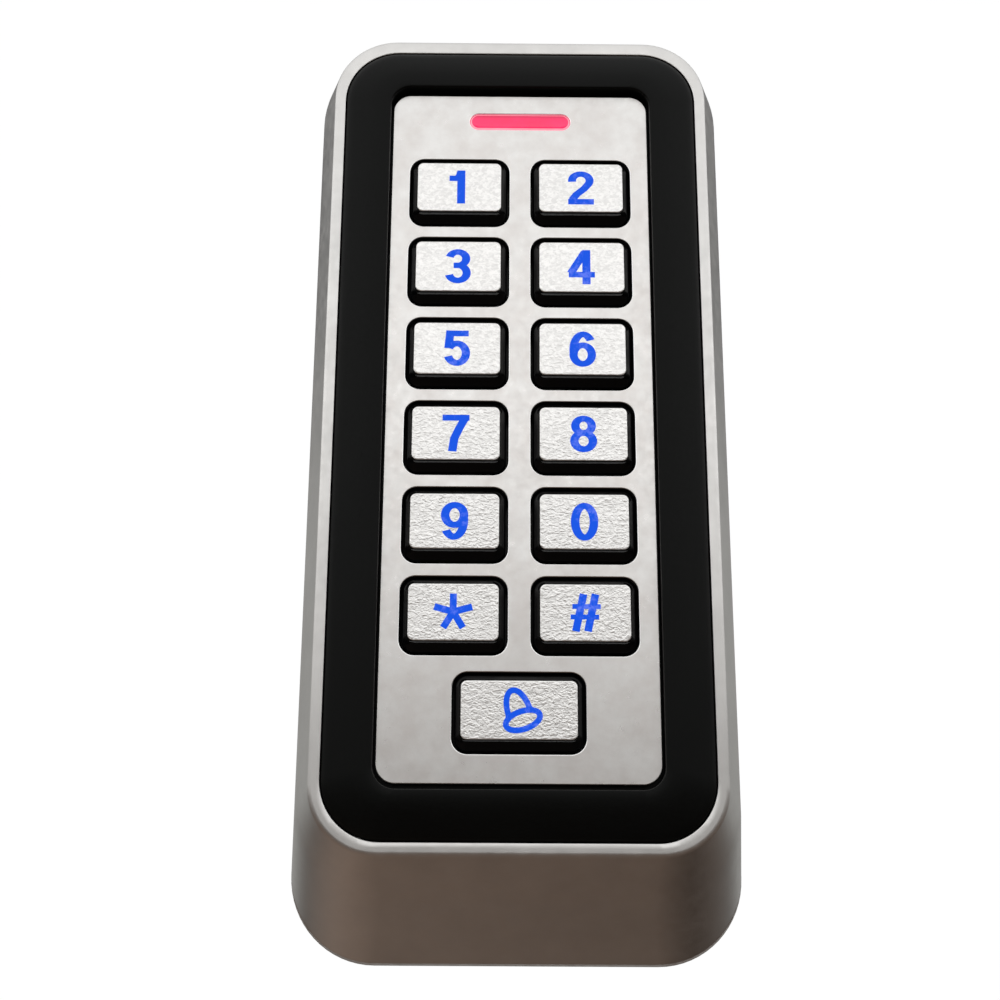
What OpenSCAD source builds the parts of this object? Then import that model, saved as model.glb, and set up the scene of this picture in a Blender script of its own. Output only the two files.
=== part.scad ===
// Wall-mounted keypad access reader: a die-cast casing, a black keypad
// module with thirteen sprung keys, its circuit board, and a wall plate.
//
// Every module is drawn lying on the wall: X to the right, Y up the face and
// Z out of the wall.  on_wall() then stands it up, so that the finished part
// has +Z up, faces -Y and touches the wall at Y = 0.

/* [Casing] */
// Widest outline of the casing, across
case_w = 64.2; // [63:0.2:66]
// Widest outline of the casing, up the wall
case_h = 140; // [139:0.1:142]
// Corner radius of the widest outline
case_r = 12.2; // [11:0.5:14]
// Height of the bright front rim above the wall
rim_z = 23.2; // [22.6:0.1:24]
// Width of the front rim's outline
rim_w = 56.5; // [56:0.1:58]
// Height of the front rim's outline
rim_h = 122.7; // [122:0.1:124]
// Corner radius of the front rim's outline
rim_r = 9.3; // [9:0.1:11]
// How far the rim's centre sits above the centre of the face
rim_up = 0.15; // [0:0.05:0.3]
// Height above the wall where the front flare ends in a shoulder
shoulder_z = 17.2; // [16.5:0.1:18]
// Width across the two side shoulders
shoulder_w = 61.4; // [60.6:0.1:62]
// How far the top shoulder stands in from the top of the casing
shoulder_in = 1.1; // [0.6:0.1:1.4]
// Height above the wall where the long bottom slope ends
foot_z = 7.2; // [6.8:0.1:7.6]
// Width of the narrow lip under the bottom slope
foot_lip = 0.3; // [0:0.05:0.5]
// Thickness of the casing's walls
wall = 2.2; // [1.8:0.1:2.4]

/* [Keypad module] */
// How far the centre of the face sits above the centre of the casing
face_up = 5.82; // [5.6:0.02:6]
// Width of the black frame
frame_w = 53.3; // [52.8:0.1:53.4]
// Height of the black frame
frame_h = 118.8; // [118:0.1:119]
// Corner radius of the black frame
frame_r = 8.1; // [7.5:0.1:9]
// How far the frame's lip stands above the metal face
lip = 1.5; // [1:0.1:1.8]
// Width of the metal face plate
plate_w = 38.65; // [38.2:0.05:38.8]
// Height of the metal face plate
plate_h = 103.8; // [103:0.1:104]
// Corner radius of the metal face plate
plate_r = 2.7; // [2:0.1:3.5]
// Thickness of the metal face plate
plate_t = 1.2; // [0.8:0.1:1.3]

/* [Keys] */
// Distance from the middle of the face to each column of keys
column_x = 9.08; // [9:0.02:9.2]
// Distance from one row of keys to the next
row_pitch = 12.9; // [12.8:0.05:13]
// Height of the first row's centre above the middle of the face
first_row = 35.45; // [35:0.05:36]
// Height of the bell key's centre
bell_row = -42.4; // [-42.6:0.05:-42.2]
// Width of a key window
window_w = 15; // [14.8:0.05:15]
// Width of the bell key's window
bell_w = 18.3; // [18:0.1:18.5]
// Height of a key window
window_h = 11.1; // [11:0.05:11.2]
// Corner radius of a key window
window_r = 2.15; // [1.8:0.05:2.4]
// Running gap between a key and its window
key_gap = 0.35; // [0.3:0.01:0.4]
// How far the key tops stand above the metal face
key_rise = 1.35; // [1.2:0.05:1.4]
// How far a key travels when it is pressed
key_travel = 1.2; // [0.8:0.1:1.2]

/* [Wall plate] */
// Thickness of the steel wall plate
back_t = 1.5; // [1.2:0.1:1.8]
// Distance between the wall screws, across
screw_dx = 35; // [30:1:38]
// Distance between the wall screws, up the wall
screw_dz = 100; // [90:1:104]
// Diameter of the wall screw holes
screw_d = 4.2; // [3.5:0.1:5]
// Diameter of the cable's way through the grommet
cable_d = 6.5; // [5:0.1:7]

/* [Hidden] */
$fn = 48;
// Name and centre of each key; the bell key is the wide one.
KEYS = concat(
    [for (i = [0:11])
        [["1", "2", "3", "4", "5", "6", "7", "8", "9", "0", "star", "hash"][i],
         (i % 2 == 0 ? -1 : 1) * column_x,
         first_row - floor(i / 2) * row_pitch,
         window_w]],
    [["bell", 0, bell_row, bell_w]]
);

// Heights above the wall of the module's layers
face_z = rim_z + 0.3;             // front of the metal face plate
lip_z = face_z + lip;             // crown of the black frame
adhesive_t = 0.15;
bed_z = face_z - plate_t - adhesive_t;  // floor that the face plate lies on
floor_z = 19.5;                   // underside of that floor
ledge_z = 17.5;                   // the casing's ledge that carries the module
ledge_t = 2;
board_z = 14.6;                   // front of the circuit board
board_t = 1.6;
board_back = board_z - board_t;
mat_t = 1;

// Recess around the face plate
recess_w = plate_w + 0.6;
recess_h = plate_h + 1.5;

// Module fixings
case_screw = [14, 57.2];          // screws from behind into the frame
board_screw_x = 19.4;
board_screw_rows = [44, -3.2, -51];
pilot_r = 1.05;
thread_r = 1;

// Antenna winding, in a groove round the frame's rim
coil_w = 48.2;
coil_h = 109.8;
coil_wide = 1.6;

// Keys
key_skirt_r = window_r - key_gap;
flange_z = floor_z - 0.15;        // top of a key's retaining flange
flange_t = 1;
flange_reach = 0.6;               // how far the flange reaches past the window
cap_side = 0.9;                   // skirt edge to the edge of the key top
cap_end = 1.23;
cap_rise = 0.25;                  // the key top sits a little high on its skirt
cap_t = 0.4;
cap_z = face_z + key_rise - cap_t;
dome_top = flange_z - flange_t - 0.5;
stem_r = 2.2;

// Status light
lens_y = 47.46;
lens_w = 15.2;
lens_h = 2.6;

// Wall plate and its fixings
rear_edge = 1;                    // the casing's rear edge rests on a gasket
back_gap = 0.4;
cable_y = 12;
tab_y = -case_h / 2 + wall + 0.9;
security_z = 4.1;
hook_x = 15;
photocell = [-14, -42];

// ---- shared shapes -------------------------------------------------------

// Stands a piece that was drawn on the wall up into the part's frame.
module on_wall() {
    rotate([90, 0, 0]) children();
}

// The same, with the middle of the keypad face as the drawing's centre.
module on_face() {
    on_wall() translate([0, face_up, 0]) children();
}

// Rectangle with round corners, or a pill when r is half of h.
module rounded(w, h, r) {
    square([w - 2 * r, h], center = true);
    if (h > 2 * r) square([w, h - 2 * r], center = true);
    for (x = [-1, 1], y = [-1, 1])
        translate([x * (w / 2 - r), y * (h / 2 - r)]) circle(r);
}

// Round-cornered block from height z0 to height z1.
module block(w, h, r, z0, z1) {
    translate([0, 0, z0]) linear_extrude(z1 - z0) rounded(w, h, r);
}

// Round-cornered block with chosen lower and upper ends.
module tall_block(w, low, high, r, z0, z1) {
    translate([0, (low + high) / 2, 0]) block(w, high - low, r, z0, z1);
}

// Round bar standing on the wall side.
module bar(x, y, r, z0, z1) {
    translate([x, y, z0]) cylinder(r = r, h = z1 - z0);
}

// Pan-head screw that points away from the wall, with a cross recess.
module screw(x, y, head_z, head_r, head_t, tip_z) {
    difference() {
        bar(x, y, head_r, head_z, head_z + head_t);
        for (a = [0, 90])
            translate([x, y, head_z]) rotate(a)
                cube([head_r * 1.3, head_r * 0.28, head_t], center = true);
    }
    bar(x, y, thread_r, head_z + head_t, tip_z);
}

// Cuts one window for each key.
module windows(z0, z1, spread = 0) {
    for (k = KEYS)
        translate([k[1], k[2], 0])
            block(k[3] + spread, window_h + spread, window_r + spread / 2, z0, z1);
}

// Lens slot in the face.
module lens_slot(z0, z1, spread) {
    translate([0, lens_y, 0])
        block(lens_w + spread, lens_h + spread, (lens_h + spread) / 2, z0, z1);
}

// ---- casing --------------------------------------------------------------

rim_mid = face_up + rim_up;
rim_low = rim_mid - rim_h / 2;
case_low = -case_h / 2;
foot_low = case_low + foot_lip;
bottom_slope = (rim_low - foot_low) / (rim_z - foot_z);

// Lower edge of the bottom slope at a height above the wall.
function slope_at(z) = rim_low - bottom_slope * (rim_z - z);

// Outside of the casing: a short flare behind the rim, walls that spread a
// little towards the wall, and a long bottom slope.
module case_outside() {
    crease = 0.5;
    hull() {
        translate([0, rim_mid, 0]) {
            block(rim_w, rim_h, rim_r, shoulder_z, rim_z - crease);
            block(rim_w - crease, rim_h - crease, rim_r - crease / 2,
                shoulder_z, rim_z);
        }
        tall_block(shoulder_w, slope_at(shoulder_z) - 0.3,
            case_h / 2 - shoulder_in, case_r, foot_z, shoulder_z);
        tall_block(case_w, foot_low, case_h / 2, case_r, rear_edge, foot_z);
    }
    tall_block(case_w, case_low, case_h / 2, case_r, rear_edge, foot_z - 0.1);
}

// Inside of the casing, behind its ledge.
module case_inside() {
    roof_z = ledge_z - ledge_t;
    across = wall * sqrt(1 + bottom_slope * bottom_slope);
    hull() {
        tall_block(shoulder_w - 2 * wall, slope_at(roof_z) + across,
            case_h / 2 - shoulder_in - wall, case_r - wall, -1, roof_z);
        tall_block(case_w - 2 * wall, case_low + wall, case_h / 2 - wall,
            case_r - wall, -1, foot_z - 1);
    }
}

module front_case() {
    color("#b9b9b5") on_wall() {
        difference() {
            case_outside();
            case_inside();
            translate([0, face_up, 0]) {
                block(frame_w + 0.2, frame_h + 0.2, frame_r + 0.1,
                    ledge_z, rim_z + 1);
                block(49, 106, 5, ledge_z - ledge_t - 1, ledge_z + 1);
                for (x = [-1, 1], y = [-1, 1])
                    bar(x * case_screw[0], y * case_screw[1], 1.4,
                        ledge_z - ledge_t - 1, ledge_z + 1);
            }
            security_screw_way();
        }
        for (x = [-hook_x, hook_x])
            translate([x - 5, case_h / 2 - wall - 1.8, back_t + 1.9])
                cube([10, 2.4, 1.8]);
    }
}

// Clearance hole and counterbore for the screw in the casing's bottom.
module security_screw_way() {
    translate([0, case_low - 1, security_z]) rotate([-90, 0, 0]) {
        cylinder(r = 1.7, h = wall + 2);
        cylinder(r = 2.9, h = 2.2);
    }
}

module security_screw() {
    color("#8d8d8a") on_wall()
        translate([0, case_low + 0.1, security_z]) rotate([-90, 0, 0]) {
            difference() {
                cylinder(r = 2.7, h = 1.1);
                translate([0, 0, -1]) cylinder(r = 1.3, h = 1.7, $fn = 6);
            }
            translate([0, 0, 1.1]) cylinder(r = 1.5, h = 5);
        }
}

// ---- keypad module -------------------------------------------------------

// Crowned outside of the black frame.
module frame_outside() {
    side_z = rim_z - 0.1;
    hull() {
        block(frame_w, frame_h, frame_r, ledge_z, side_z);
        block(frame_w - 1.2, frame_h - 1.2, frame_r - 0.6, ledge_z, side_z + 0.8);
        block(frame_w - 4.6, frame_h - 4.6, frame_r - 2.3, ledge_z, lip_z - 0.4);
        block(frame_w - 10, frame_h - 10, frame_r - 5, ledge_z, lip_z);
    }
}

module keypad_frame() {
    color("#1b1b1a") on_face() {
        difference() {
            frame_outside();
            block(recess_w, recess_h, plate_r + 0.4, bed_z, lip_z + 1);
            block(48.6, 105.6, 4.8, ledge_z - 1, floor_z);
            windows(floor_z - 1, bed_z + 1);
            lens_slot(floor_z - 1, bed_z + 1, 0.2);
            coil_groove();
            for (x = [-1, 1], y = [-1, 1])
                bar(x * case_screw[0], y * case_screw[1], pilot_r,
                    ledge_z - 1, ledge_z + 4);
        }
        for (x = [-board_screw_x, board_screw_x], y = board_screw_rows)
            difference() {
                bar(x, y, 1.75, board_z, floor_z);
                bar(x, y, pilot_r, board_z - 1, floor_z - 0.8);
            }
    }
}

// Groove for the antenna winding, open towards the wall.
module coil_groove() {
    difference() {
        block(coil_w + 0.2, coil_h + 0.2, 5.1, ledge_z - 1, floor_z + 2.8);
        block(coil_w - 2 * coil_wide - 0.2, coil_h - 2 * coil_wide - 0.2, 3.3,
            ledge_z - 2, floor_z + 4);
    }
}

module antenna_coil() {
    color("#9c5a2c") on_face()
        difference() {
            block(coil_w, coil_h, 5, floor_z + 0.2, floor_z + 2.6);
            block(coil_w - 2 * coil_wide, coil_h - 2 * coil_wide, 3.4,
                floor_z, floor_z + 3);
        }
}

module module_screws() {
    color("#a5a5a0") on_face()
        for (x = [-1, 1], y = [-1, 1])
            screw(x * case_screw[0], y * case_screw[1],
                ledge_z - ledge_t - 1.4, 2.1, 1.4, ledge_z + 3.6);
}

module face_plate() {
    edge = 0.2;
    color("#d3d1ce") on_face()
        difference() {
            union() {
                block(plate_w, plate_h, plate_r, face_z - plate_t, face_z - edge);
                block(plate_w - 2 * edge, plate_h - 2 * edge, plate_r - edge,
                    face_z - plate_t, face_z);
            }
            windows(face_z - plate_t - 1, face_z + 1);
            lens_slot(face_z - plate_t - 1, face_z + 1, 0.1);
        }
}

module plate_adhesive() {
    color("#e8e6dc") on_face()
        difference() {
            block(plate_w - 1, plate_h - 1, plate_r - 0.5, bed_z, bed_z + adhesive_t);
            windows(bed_z - 1, bed_z + 1, 0.4);
            lens_slot(bed_z - 1, bed_z + 1, 0.8);
        }
}

module led_lens() {
    flange_low = floor_z - 1.1;
    color("#ff3557") on_face()
        translate([0, lens_y, 0]) {
            block(lens_w, lens_h, lens_h / 2, flange_low, face_z + 0.1);
            block(lens_w + 2, lens_h + 2, (lens_h + 2) / 2, flange_low, floor_z - 0.1);
            block(12.6, 2, 0.5, board_z + 1.2, flange_low);
        }
}

// ---- keys ----------------------------------------------------------------

// Black skirt, retaining flange and stem of one key.
module key_body(k) {
    skirt_w = k[3] - 2 * key_gap;
    skirt_h = window_h - 2 * key_gap;
    top_w = skirt_w - 2 * cap_side + 0.4;
    top_h = skirt_h - 2 * cap_end + 0.4;
    low_z = flange_z - flange_t;
    straight_z = face_z - 0.2;
    color("#0d0d0e") on_face() translate([k[1], k[2], 0]) {
        difference() {
            union() {
                block(k[3] + 2 * flange_reach, window_h + 2 * flange_reach,
                    window_r + flange_reach, low_z, flange_z);
                block(skirt_w, skirt_h, key_skirt_r, low_z, straight_z);
                hull() {
                    block(skirt_w, skirt_h, key_skirt_r, low_z + 4, straight_z);
                    translate([0, cap_rise, 0])
                        block(top_w, top_h, 1, low_z + 4, cap_z);
                }
            }
            block(skirt_w - 1.8, skirt_h - 1.8, 0.9, low_z - 1, straight_z - 0.9);
        }
        bar(0, 0, stem_r, dome_top, straight_z - 0.9);
    }
}

// Silver top of one key, with a small bevel round it.
module key_cap(k) {
    cap_w = k[3] - 2 * key_gap - 2 * cap_side;
    cap_h = window_h - 2 * key_gap - 2 * cap_end;
    bevel = 0.12;
    color("#dcdad7") on_face() translate([k[1], k[2] + cap_rise, 0])
        hull() {
            block(cap_w, cap_h, 0.85, cap_z, cap_z + cap_t - bevel);
            block(cap_w - 2 * bevel, cap_h - 2 * bevel, 0.85 - bevel, cap_z, cap_z + cap_t);
        }
}

// ---- contacts and circuit board ------------------------------------------

module rubber_mat() {
    color("#d9dcd6", 0.9) on_face()
        difference() {
            tall_block(34.4, -50, 42.3, 2, board_z, board_z + mat_t);
            for (k = KEYS) {
                bar(k[1], k[2], 4.2, board_z - 1, board_z + 2);
                led_places(k) block(2.4, 1.6, 0.3, board_z - 1, board_z + 2);
            }
        }
}

// Collapsing domes that return the keys, each with a contact tip inside.
module rubber_domes() {
    tip = key_travel + 0.1;
    color("#cfd4cf", 0.9) on_face()
        for (k = KEYS)
            translate([k[1], k[2], board_z])
                rotate_extrude()
                    polygon([[3.3, 0], [4.2, 0], [4.2, mat_t], [3.7, mat_t + 0.2],
                        [2.7, dome_top - board_z - 0.8], [2.2, dome_top - board_z],
                        [0, dome_top - board_z], [0, tip], [1.6, tip],
                        [1.6, tip + 0.5], [2.2, tip + 0.5], [3.3, 0.9]]);
}

module contact_pads() {
    color("#d9a845") on_face()
        for (k = KEYS) bar(k[1], k[2], 2.4, board_z, board_z + 0.08);
}

module main_board() {
    color("#1f6b3d") on_face()
        difference() {
            block(48.4, 105.4, 2, board_back, board_z);
            for (x = [-board_screw_x, board_screw_x], y = board_screw_rows)
                bar(x, y, 1.15, board_back - 1, board_z + 1);
        }
}

module board_screws() {
    color("#a5a5a0") on_face()
        for (x = [-board_screw_x, board_screw_x], y = board_screw_rows)
            screw(x, y, board_back - 1.3, 1.9, 1.3, floor_z - 1.2);
}

// Where a key's backlight sits on the board: one, or two under the bell key.
module led_places(k) {
    reach = 5.7;
    for (x = k[3] > window_w ? [-reach, reach] : [reach])
        translate([k[1] + x, k[2], 0]) children();
}

module backlight_leds() {
    color("#4a72ff") on_face()
        for (k = KEYS)
            led_places(k) block(1.6, 0.8, 0.1, board_z, board_z + 0.6);
}

module status_leds() {
    color("#f2f0e4") on_face()
        for (x = [-4.2, 0, 4.2])
            translate([x, lens_y, 0]) block(2, 1.3, 0.2, board_z, board_z + 0.8);
}

// Flat chip with a row of legs along two sides.
module chip(x, y, w, h, t, legs) {
    pitch = (h - 1) / (legs - 1);
    translate([x, y, 0]) {
        block(w, h, 0.2, board_back - t, board_back - 0.1);
        for (side = [-1, 1], i = [0:legs - 1])
            translate([side * (w / 2 + 0.35), -(h - 1) / 2 + i * pitch, board_back - 0.35])
                cube([1, 0.35, 0.7], center = true);
    }
}

module controller_chip() {
    color("#2a2a2c") on_face() chip(-11, 36, 8, 10, 1.4, 8);
}

module reader_chip() {
    color("#2a2a2c") on_face() chip(11, 38, 4, 10, 1.5, 8);
}

module buzzer() {
    color("#151515") on_face()
        difference() {
            bar(13, -22, 6, board_back - 7.5, board_back);
            bar(13, -22, 1, board_back - 8, board_back - 5);
        }
}

module door_relay() {
    color("#2b62a8") on_face()
        translate([-11, -22, 0]) block(15.5, 12, 0.5, board_back - 9.5, board_back);
}

module capacitor() {
    color("#24356b") on_face() bar(15, 0, 3.2, board_back - 8, board_back);
}

// Header that the wall cable plugs onto.
module wire_connector() {
    color("#e9e4d4") on_face() translate([0, 24, 0]) {
        difference() {
            block(20, 5.8, 0.3, board_back - 7, board_back);
            block(18.4, 4.2, 0.2, board_back - 8, board_back - 1.2);
        }
        for (i = [-3:3]) bar(i * 2.5, 0, 0.32, board_back - 6, board_back - 1);
    }
}

// Light sensor that notices when the reader leaves the wall.
module tamper_photocell() {
    color("#c98f4a") on_face()
        translate([photocell[0], photocell[1], 0]) {
            bar(0, 0, 2.5, board_back - 7, board_back - 5);
            for (x = [-1.3, 1.3]) bar(x, 0, 0.3, board_back - 5, board_back);
        }
}

// ---- wall plate ----------------------------------------------------------

module back_plate() {
    w = case_w - 2 * wall - 2 * back_gap;
    h = case_h - 2 * wall - 2 * back_gap;
    hook_z = back_t + 4;
    color("#9fa2a3") on_wall() {
        difference() {
            block(w, h, case_r - wall - back_gap, 0, back_t);
            for (x = [-1, 1], y = [-1, 1])
                bar(x * screw_dx / 2, y * screw_dz / 2, screw_d / 2, -1, back_t + 1);
            bar(0, cable_y, 6.2, -1, back_t + 1);
            bar(photocell[0], photocell[1] + face_up, 2.5, -1, back_t + 1);
        }
        for (x = [-hook_x, hook_x]) {
            translate([x - 4, h / 2 - 3.3, back_t]) cube([8, 1.2, hook_z - back_t + 1.2]);
            translate([x - 4, h / 2 - 3.3, hook_z]) cube([8, 3, 1.2]);
        }
        difference() {
            translate([-7, tab_y, back_t]) cube([14, 1.6, 5.2]);
            translate([0, tab_y - 1, security_z]) rotate([-90, 0, 0])
                cylinder(r = 1.55, h = 4);
        }
    }
}

module cable_grommet() {
    color("#202020") on_wall() translate([0, cable_y, 0])
        difference() {
            union() {
                bar(0, 0, 6.2, 0.2, back_t);
                bar(0, 0, 7.8, back_t, back_t + 1.2);
                bar(0, 0, 5, back_t + 1.2, back_t + 2.6);
            }
            bar(0, 0, cable_d / 2, 0, back_t + 3);
        }
}

module wall_gasket() {
    color("#2c2c2b") on_wall()
        difference() {
            block(case_w - 0.8, case_h - 0.8, case_r - 0.4, 0, rear_edge);
            block(case_w - 2 * wall, case_h - 2 * wall, case_r - wall,
                -1, rear_edge + 1);
        }
}

front_case();
keypad_frame();
module_screws();
face_plate();
plate_adhesive();
led_lens();
rubber_mat();
rubber_domes();
contact_pads();
main_board();
board_screws();
backlight_leds();
status_leds();
antenna_coil();
controller_chip();
reader_chip();
buzzer();
door_relay();
capacitor();
wire_connector();
tamper_photocell();
back_plate();
cable_grommet();
wall_gasket();
security_screw();
for (k = KEYS)
    key_body(k);
for (k = KEYS)
    key_cap(k);
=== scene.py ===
from math import cos, pi, radians, sin

import bmesh
import bpy
from bpy.props import FloatProperty, FloatVectorProperty, IntProperty, PointerProperty
from mathutils import Matrix, Vector


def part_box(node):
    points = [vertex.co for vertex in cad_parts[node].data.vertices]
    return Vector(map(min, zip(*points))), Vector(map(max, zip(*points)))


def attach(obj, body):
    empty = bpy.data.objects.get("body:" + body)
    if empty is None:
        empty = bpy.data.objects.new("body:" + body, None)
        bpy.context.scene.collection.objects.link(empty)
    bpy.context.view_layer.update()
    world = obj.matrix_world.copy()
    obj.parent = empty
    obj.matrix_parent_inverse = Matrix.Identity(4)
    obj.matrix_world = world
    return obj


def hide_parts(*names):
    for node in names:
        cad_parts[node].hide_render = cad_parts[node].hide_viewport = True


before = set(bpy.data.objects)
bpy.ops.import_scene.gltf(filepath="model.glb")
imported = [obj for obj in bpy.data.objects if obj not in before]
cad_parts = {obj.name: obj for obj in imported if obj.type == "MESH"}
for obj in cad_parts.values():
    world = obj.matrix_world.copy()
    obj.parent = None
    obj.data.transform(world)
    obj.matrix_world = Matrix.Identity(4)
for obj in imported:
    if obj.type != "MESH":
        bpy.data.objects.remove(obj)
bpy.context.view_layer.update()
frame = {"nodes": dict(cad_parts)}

bl_info = {
    "name": "Keypad Access Reader",
    "version": (1, 0, 0),
    "blender": (4, 5, 0),
    "location": "3D View > Sidebar > Reader",
    "description": "Builds the looks of a wall-mounted keypad access reader",
    "category": "Object",
}

MM = 0.001
BODY = "housing"
KEYS = ["1", "2", "3", "4", "5", "6", "7", "8", "9", "0", "star", "hash", "bell"]
HOOK_X = 15 * MM        # sideways place of the wall plate's hooks and the casing's lugs
BIG_CORNER = 16         # segments in a corner of the casing or the black frame
PLATE_CORNER = 12       # segments in a corner of a plate or the gasket


# ---- sizes and colours ---------------------------------------------------

def length(name, description, default):
    """A size in millimetres, shown in the scene's unit."""
    return FloatProperty(name=name, description=description, default=default * MM,
                         min=0, unit="LENGTH", precision=5)


def colour(name, description, default):
    """A surface colour."""
    return FloatVectorProperty(name=name, description=description, default=default,
                               size=3, min=0, max=1, subtype="COLOR")


class ReaderCasing(bpy.types.PropertyGroup):
    """Sizes of the die-cast casing."""
    corner: length("Corner", "Corner radius of the widest outline", 12.2)
    shoulder_w: length("Shoulder width", "Width across the two side shoulders", 61.4)
    shoulder_in: length("Shoulder set-in", "Set-in of the top shoulder", 1.1)
    shoulder_h: length("Shoulder height", "Height of the shoulder above the wall", 17.2)
    foot_h: length("Foot height", "Height of the end of the bottom slope", 7.2)
    rear_h: length("Rear edge", "Height of the rear edge above the wall", 1.0)
    rim_w: length("Rim width", "Width of the front rim's outline", 56.5)
    rim_h: length("Rim length", "Length of the front rim's outline", 122.7)
    rim_corner: length("Rim corner", "Corner radius of the front rim", 9.3)
    rim_up: length("Rim shift", "How far the rim sits above the face's centre", 0.15)
    rim_round: length("Rim rounding", "Rounding of the rim's outer edge", 0.5)
    wall: length("Wall", "Thickness of the casing's walls", 2.2)
    ledge_h: length("Ledge height", "Height of the ledge that carries the module", 17.5)
    shoulder_round: length("Shoulder rounding", "Rounding of the shoulder edge", 0.9)
    foot_lip: length("Foot lip", "Width of the lip under the bottom slope", 0.3)
    edge_round: length("Edge rounding", "Rounding of the casing's lowest edge", 0.06)


class ReaderModule(bpy.types.PropertyGroup):
    """Sizes of the black frame and the metal face."""
    frame_corner: length("Frame corner", "Corner radius of the black frame", 8.1)
    plate_corner: length("Face corner", "Corner radius of the metal face", 2.7)
    plate_edge: length("Face edge", "Rounding of the metal face's edges", 0.1)
    side_gap: length("Side gap", "Gap beside the metal face", 0.3)
    end_gap: length("End gap", "Gap above and below the metal face", 0.75)
    window_corner: length("Window corner", "Corner radius of a key window", 2.15)
    flange: length("Key flange", "Reach of a key's flange past its window", 0.6)
    key_gap: length("Key gap", "Running gap round a key", 0.35)


class ReaderWall(bpy.types.PropertyGroup):
    """Sizes of the steel wall plate."""
    plate_t: length("Plate thickness", "Thickness of the wall plate", 1.5)
    plate_corner: length("Plate corner", "Corner radius of the wall plate", 9.6)
    screw_x: length("Screws across", "Distance between the wall screws, across", 35)
    screw_z: length("Screws up", "Distance between the wall screws, up the wall", 100)
    screw_d: length("Screw hole", "Diameter of the wall screw holes", 4.2)
    cable_d: length("Cable way", "Diameter of the cable's way", 6.5)
    tab_in: length("Tab set-in", "From the plate's lower edge to the screw tab", 1.3)


class ReaderFinish(bpy.types.PropertyGroup):
    """Colours of the visible finishes."""
    casing: colour("Casing", "Satin nickel on die-cast metal", (0.66, 0.65, 0.635))
    face: colour("Face", "Satin silver face plate", (0.71, 0.70, 0.685))
    key_top: colour("Key top", "Silver coat of the key tops", (0.875, 0.865, 0.85))
    key_side: colour("Key side", "Glossy black of the key skirts", (0.0015, 0.0015, 0.0017))
    frame: colour("Frame", "Black moulded frame", (0.0014, 0.0017, 0.0015))
    legend: colour("Legend", "Backlit legends", (0.0, 0.07, 0.64))
    light_bar: colour("Light bar", "Lit status light", (0.90, 0.026, 0.115))


class ReaderStage(bpy.types.PropertyGroup):
    """Camera, floor and light."""
    lens: FloatProperty(name="Lens", description="Focal length of the camera in mm",
                        default=50.4, min=10)
    distance: length("Distance", "Camera's distance from the metal face", 190.4)
    below: length("Below", "How far the camera stands below the face's centre", 65.57)
    aside: length("Aside", "How far the camera stands left of the face's centre", 3.63)
    tilt: FloatProperty(name="Tilt", description="Upward tilt of the camera",
                        default=0.272, unit="ROTATION")
    turn: FloatProperty(name="Turn", description="Sideways turn of the camera",
                        default=-0.0045, unit="ROTATION")
    roll: FloatProperty(name="Roll", description="Roll of the camera",
                        default=0.007, unit="ROTATION")
    floor_drop: length("Floor", "Height of the casing above the floor", 330)
    floor_radius: length("Floor radius", "Radius of the round floor", 1300)
    floor_segments: IntProperty(name="Floor segments", description="Roundness of the floor",
                                default=96, min=12)


# ---- mesh helpers --------------------------------------------------------

class Span:
    """Centre, size and depth range of a CAD node, in metres."""

    def __init__(self, *nodes):
        corners = [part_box(node) for node in nodes]
        low = Vector(min(c[0][i] for c in corners) for i in range(3))
        high = Vector(max(c[1][i] for c in corners) for i in range(3))
        self.x, self.z = (low.x + high.x) / 2, (low.z + high.z) / 2
        self.width, self.height = high.x - low.x, high.z - low.z
        self.bottom, self.top = low.z, high.z
        self.front, self.back = -low.y, -high.y


def outline(bm, width, height, corner, centre, depth, segments=8):
    """Adds a round-cornered loop parallel to the wall; returns its edges.
    depth is the loop's distance in front of the wall."""
    before = set(bm.edges)
    x, z = centre
    corners = [bm.verts.new((x + sx * width / 2, -depth, z + sz * height / 2))
               for sx, sz in ((-1, -1), (1, -1), (1, 1), (-1, 1))]
    face = bm.faces.new(corners)
    bmesh.ops.bevel(bm, geom=corners + [face], offset=min(corner, height * 0.4999),
                    offset_type="OFFSET", affect="VERTICES", segments=segments,
                    profile=0.5, material=-1)
    edges = [edge for edge in bm.edges if edge not in before]
    faces = {face for edge in edges for face in edge.link_faces}
    bmesh.ops.delete(bm, geom=list(faces), context="FACES_ONLY")
    return edges


def skin(bm, loops):
    """Joins each loop to the next one, which lies at another depth."""
    for first, second in zip(loops, loops[1:]):
        bmesh.ops.bridge_loops(bm, edges=first + second)


def cap(bm, *loops):
    """Fills the area inside the first loop and outside the others."""
    bmesh.ops.triangle_fill(bm, use_beauty=True, use_dissolve=False,
                            edges=[edge for loop in loops for edge in loop])


def soften(bm, edges, size, segments=4):
    """Rounds edges."""
    bmesh.ops.bevel(bm, geom=edges, offset=size, offset_type="OFFSET", affect="EDGES",
                    segments=segments, profile=0.5, material=-1, clamp_overlap=True)


def finish_piece(bm, name, material, sharp=35):
    """Turns a bmesh into a smooth-shaded object made of one material."""
    bmesh.ops.recalc_face_normals(bm, faces=bm.faces)
    mesh = bpy.data.meshes.new(name)
    bm.to_mesh(mesh)
    bm.free()
    mesh.materials.append(material)
    mesh.shade_smooth()
    mesh.set_sharp_from_angle(angle=radians(sharp))
    piece = bpy.data.objects.new(name, mesh)
    bpy.context.scene.collection.objects.link(piece)
    weighted = piece.modifiers.new("flat faces", "WEIGHTED_NORMAL")
    weighted.keep_sharp = True
    return piece


def join_piece(piece, body, slot, *nodes):
    """Lets a piece ride on a body in place of CAD nodes."""
    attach(piece, body)
    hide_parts(*nodes)


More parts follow.
